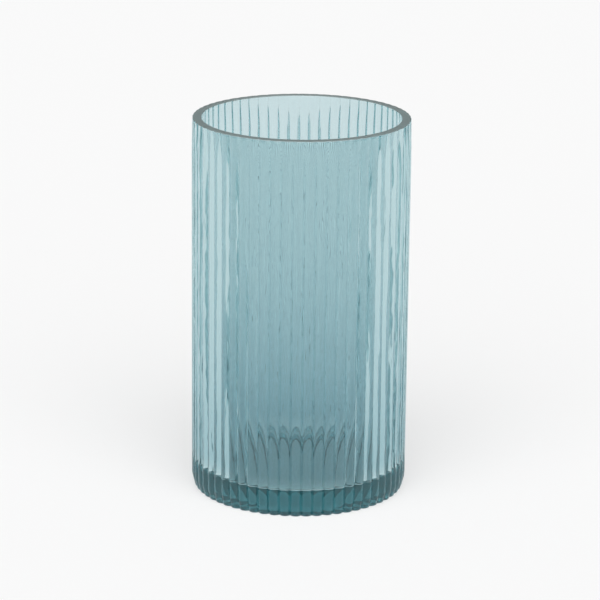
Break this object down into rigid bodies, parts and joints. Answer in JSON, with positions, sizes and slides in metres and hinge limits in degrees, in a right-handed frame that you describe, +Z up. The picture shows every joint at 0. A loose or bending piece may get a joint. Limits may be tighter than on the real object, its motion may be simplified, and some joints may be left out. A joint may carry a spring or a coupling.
{
  "type": "cylinder vase",
  "caption": "Straight round glass vase with fine vertical ribs outside, a smooth well open at the rim, a thick base and a foot ring to stand on.",
  "frame": {"origin": "centre of the foot ring, on the surface the vase stands on", "axes": "+Z up the vase's axis, with a rib crest on +X, -X, +Y and -Y"},
  "size_m": [0.12, 0.12, 0.21],
  "materials": {
    "teal_glass": "clear teal glass, pressed, with a ground rim"
  },
  "bodies": {
    "root": {"glass_vessel": "teal_glass"}
  },
  "joints": []
}
